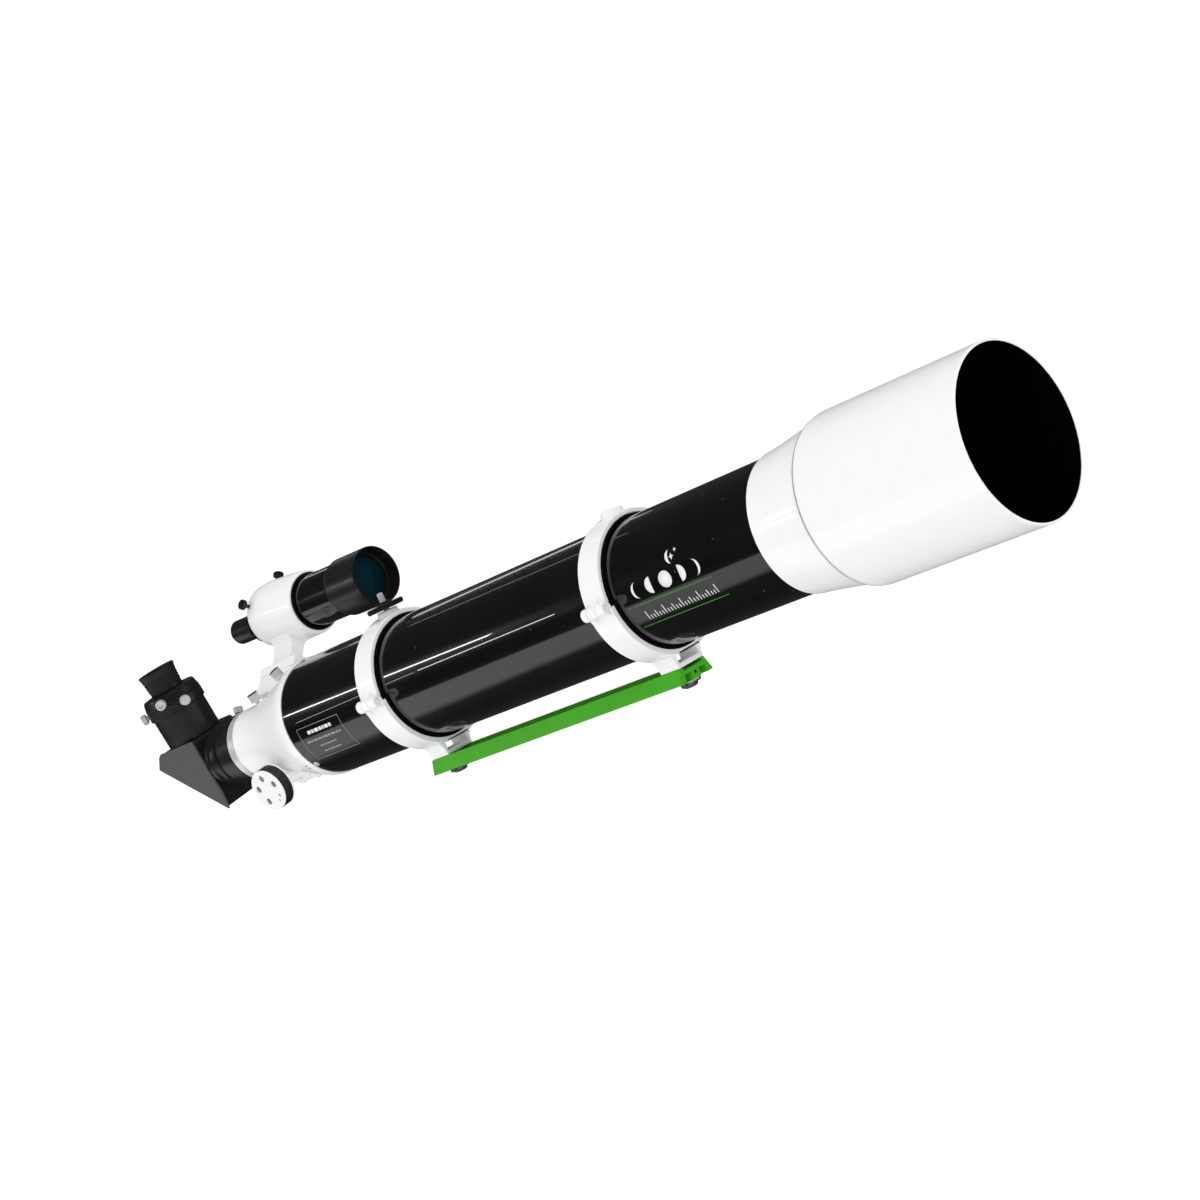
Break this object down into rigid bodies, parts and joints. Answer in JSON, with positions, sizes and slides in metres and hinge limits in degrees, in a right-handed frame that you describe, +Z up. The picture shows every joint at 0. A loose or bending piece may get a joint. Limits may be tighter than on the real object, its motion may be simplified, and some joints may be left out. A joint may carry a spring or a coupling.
{
  "type": "refractor telescope",
  "caption": "Refractor telescope in hinged tube rings on a dovetail bar, with rack focuser, star diagonal, eyepiece and finder; the focuser, rings and finder move.",
  "frame": {"origin": "centre of the dovetail bar's underside", "axes": "+X along the optical axis towards the sky, +Y the observer's left when looking forward, +Z up"},
  "size_m": [1.1515, 0.1881, 0.2527],
  "materials": {
    "white_enamel": "smooth white enamel on cast or turned aluminium",
    "black_gloss_paint": "deep gloss black paint on a rolled aluminium tube",
    "black_anodised": "satin black anodised aluminium",
    "dark_grey_plastic": "lightly textured dark grey plastic",
    "green_anodised": "green anodised extruded aluminium",
    "chrome": "bright plated metal",
    "brass": "machined brass",
    "black_felt": "black felt",
    "black_rubber": "ribbed black rubber",
    "coated_glass": "polished glass with a dark blue-green coating",
    "mirror": "front-surface mirror"
  },
  "bodies": {
    "mount": {"dovetail_bar": "green_anodised", "rear_foot_bolt": "chrome", "front_foot_bolt": "chrome", "rear_ring_lower": "white_enamel", "front_ring_lower": "white_enamel", "rear_felt_lower": "black_felt", "front_felt_lower": "black_felt", "rear_hinge_pin": "chrome", "front_hinge_pin": "chrome"},
    "rear_ring_top": {"rear_ring_upper": "white_enamel", "rear_felt_upper": "black_felt", "piggyback_stud": "chrome"},
    "front_ring_top": {"front_ring_upper": "white_enamel", "front_felt_upper": "black_felt"},
    "rear_clamp": {"rear_clamp_screw": "chrome"},
    "front_clamp": {"front_clamp_screw": "chrome"},
    "piggyback_lock": {"piggyback_wheel": "black_anodised"},
    "optical_tube": {"main_tube": "black_gloss_paint", "objective_cell": "white_enamel", "rear_lens": "coated_glass", "lens_spacer": "black_anodised", "front_lens": "coated_glass", "lens_retainer": "black_anodised", "tube_baffle": "black_anodised", "focuser_body": "white_enamel", "pinion_cover": "white_enamel", "finder_shoe": "black_anodised"},
    "dew_cap": {"dew_shield": "white_enamel"},
    "tension_screw": {"focus_tension_screw": "chrome"},
    "lock_screw": {"focus_lock_screw": "chrome"},
    "draw": {"drawtube": "chrome", "focus_rack": "brass", "visual_back": "black_anodised"},
    "collar_clamp": {"collar_screw": "chrome"},
    "pinion": {"pinion_shaft": "chrome", "right_knob": "white_enamel", "right_knob_grip": "black_rubber", "left_knob": "white_enamel", "left_knob_grip": "black_rubber"},
    "diagonal": {"diagonal_housing": "dark_grey_plastic", "diagonal_mirror": "mirror", "diagonal_back_cover": "dark_grey_plastic", "diagonal_nosepiece": "black_anodised", "eyepiece_holder": "black_anodised"},
    "holder_clamp_front": {"holder_screw_front": "chrome"},
    "holder_clamp_rear": {"holder_screw_rear": "chrome"},
    "adapter": {"eyepiece_adapter": "black_anodised"},
    "adapter_clamp": {"adapter_screw": "chrome"},
    "eyepiece": {"eyepiece_body": "black_anodised", "eye_lens": "coated_glass", "eyecup": "black_rubber"},
    "bracket": {"finder_bracket": "white_enamel"},
    "shoe_clamp": {"shoe_clamp_screw": "chrome"},
    "scope": {"finder_tube": "black_gloss_paint", "finder_eyepiece": "black_anodised"},
    "scope_front": {"finder_cell": "black_anodised", "finder_objective": "coated_glass"},
    "scope_screw_top": {"finder_screw_top": "black_anodised"},
    "scope_screw_side": {"finder_screw_side": "black_anodised"},
    "scope_plunger": {"finder_plunger": "black_anodised"}
  },
  "joints": [
    {"name": "rear_ring_open", "type": "hinge", "parent": "mount", "child": "rear_ring_top", "pos_m": [-0.16, -0.071, 0.091], "axis": [1, 0, 0], "range_deg": [0, 100]},
    {"name": "front_ring_open", "type": "hinge", "parent": "mount", "child": "front_ring_top", "pos_m": [0.1645, -0.071, 0.091], "axis": [1, 0, 0], "range_deg": [0, 100]},
    {"name": "rear_clamp_turn", "type": "hinge", "parent": "rear_ring_top", "child": "rear_clamp", "pos_m": [-0.16, 0.079, 0.102], "axis": [0, 0, 1], "continuous": true},
    {"name": "front_clamp_turn", "type": "hinge", "parent": "front_ring_top", "child": "front_clamp", "pos_m": [0.1645, 0.079, 0.102], "axis": [0, 0, 1], "continuous": true},
    {"name": "piggyback_turn", "type": "hinge", "parent": "rear_ring_top", "child": "piggyback_lock", "pos_m": [-0.16, 0, 0.168], "axis": [0, 0, 1], "continuous": true},
    {"name": "tube_balance", "type": "slide", "parent": "mount", "child": "optical_tube", "axis": [1, 0, 0], "range_m": [-0.06, 0.06]},
    {"name": "dew_shield_slide", "type": "slide", "parent": "optical_tube", "child": "dew_cap", "axis": [1, 0, 0], "range_m": [0, 0.025]},
    {"name": "drawtube_slide", "type": "slide", "parent": "optical_tube", "child": "draw", "axis": [-1, 0, 0], "range_m": [0, 0.08]},
    {"name": "focus_turn", "type": "hinge", "parent": "optical_tube", "child": "pinion", "pos_m": [-0.3705, 0.00435, 0.05654], "axis": [0, -0.9925, -0.1219], "range_deg": [0, 1095]},
    {"name": "tension_turn", "type": "hinge", "parent": "optical_tube", "child": "tension_screw", "pos_m": [-0.343, -0.00631, 0.14341], "axis": [-0.3746, -0.113, 0.9203], "continuous": true},
    {"name": "lock_turn", "type": "hinge", "parent": "optical_tube", "child": "lock_screw", "pos_m": [-0.397, -0.00469, 0.13021], "axis": [-0.0872, -0.1214, 0.9888], "continuous": true},
    {"name": "collar_screw_turn", "type": "hinge", "parent": "draw", "child": "collar_clamp", "pos_m": [-0.454, 0.01023, 0.12547], "axis": [0, 0.2924, 0.9563], "continuous": true},
    {"name": "diagonal_turn", "type": "hinge", "parent": "draw", "child": "diagonal", "pos_m": [-0.47, 0, 0.092], "axis": [1, 0, 0], "continuous": true},
    {"name": "holder_screw_front_turn", "type": "hinge", "parent": "diagonal", "child": "holder_clamp_front", "pos_m": [-0.48921, -0.01982, 0.16442], "axis": [0.9397, -0.3395, -0.0417], "continuous": true},
    {"name": "holder_screw_rear_turn", "type": "hinge", "parent": "diagonal", "child": "holder_clamp_rear", "pos_m": [-0.54102, -0.03169, 0.16297], "axis": [-0.6947, -0.714, -0.0877], "continuous": true},
    {"name": "adapter_lift", "type": "slide", "parent": "diagonal", "child": "adapter", "axis": [0, -0.1219, 0.9925], "range_m": [0, 0.032]},
    {"name": "adapter_screw_turn", "type": "hinge", "parent": "adapter", "child": "adapter_clamp", "pos_m": [-0.5022, -0.03671, 0.17041], "axis": [0.5299, -0.8417, -0.1034], "continuous": true},
    {"name": "eyepiece_lift", "type": "slide", "parent": "adapter", "child": "eyepiece", "axis": [0, -0.1219, 0.9925], "range_m": [0, 0.03]},
    {"name": "finder_foot_slide", "type": "slide", "parent": "optical_tube", "child": "bracket", "axis": [-1, 0, 0], "range_m": [0, 0.05]},
    {"name": "shoe_screw_turn", "type": "hinge", "parent": "optical_tube", "child": "shoe_clamp", "pos_m": [-0.364, 0.05268, 0.13934], "axis": [0, 0.8192, -0.5736], "continuous": true},
    {"name": "finder_tilt", "type": "hinge", "parent": "bracket", "child": "scope", "pos_m": [-0.345, 0.07606, 0.20062], "axis": [0, 0.8192, -0.5736], "range_deg": [-1.2, 1.2]},
    {"name": "finder_front_turn", "type": "hinge", "parent": "scope", "child": "scope_front", "pos_m": [-0.345, 0.07606, 0.20062], "axis": [0.9997, -0.015, -0.0214], "continuous": true},
    {"name": "finder_screw_travel", "type": "slide", "parent": "bracket", "child": "scope_screw_top", "axis": [0, 0.5736, 0.8192], "range_m": [-0.0014, 0.0014]},
    {"name": "finder_side_turn", "type": "hinge", "parent": "bracket", "child": "scope_screw_side", "pos_m": [-0.41, 0.04824, 0.22391], "axis": [0, -0.8192, 0.5736], "continuous": true},
    {"name": "finder_plunger_travel", "type": "slide", "parent": "bracket", "child": "scope_plunger", "axis": [0, 0.1736, -0.9848], "range_m": [-0.001, 0.001]}
  ],
  "couplings": [
    {"joint": "focus_turn", "follows": "drawtube_slide", "rad_per_m": 238.1},
    {"joint": "finder_screw_travel", "follows": "finder_tilt", "m_per_rad": 0.065},
    {"joint": "finder_plunger_travel", "follows": "finder_tilt", "m_per_rad": -0.04596}
  ]
}
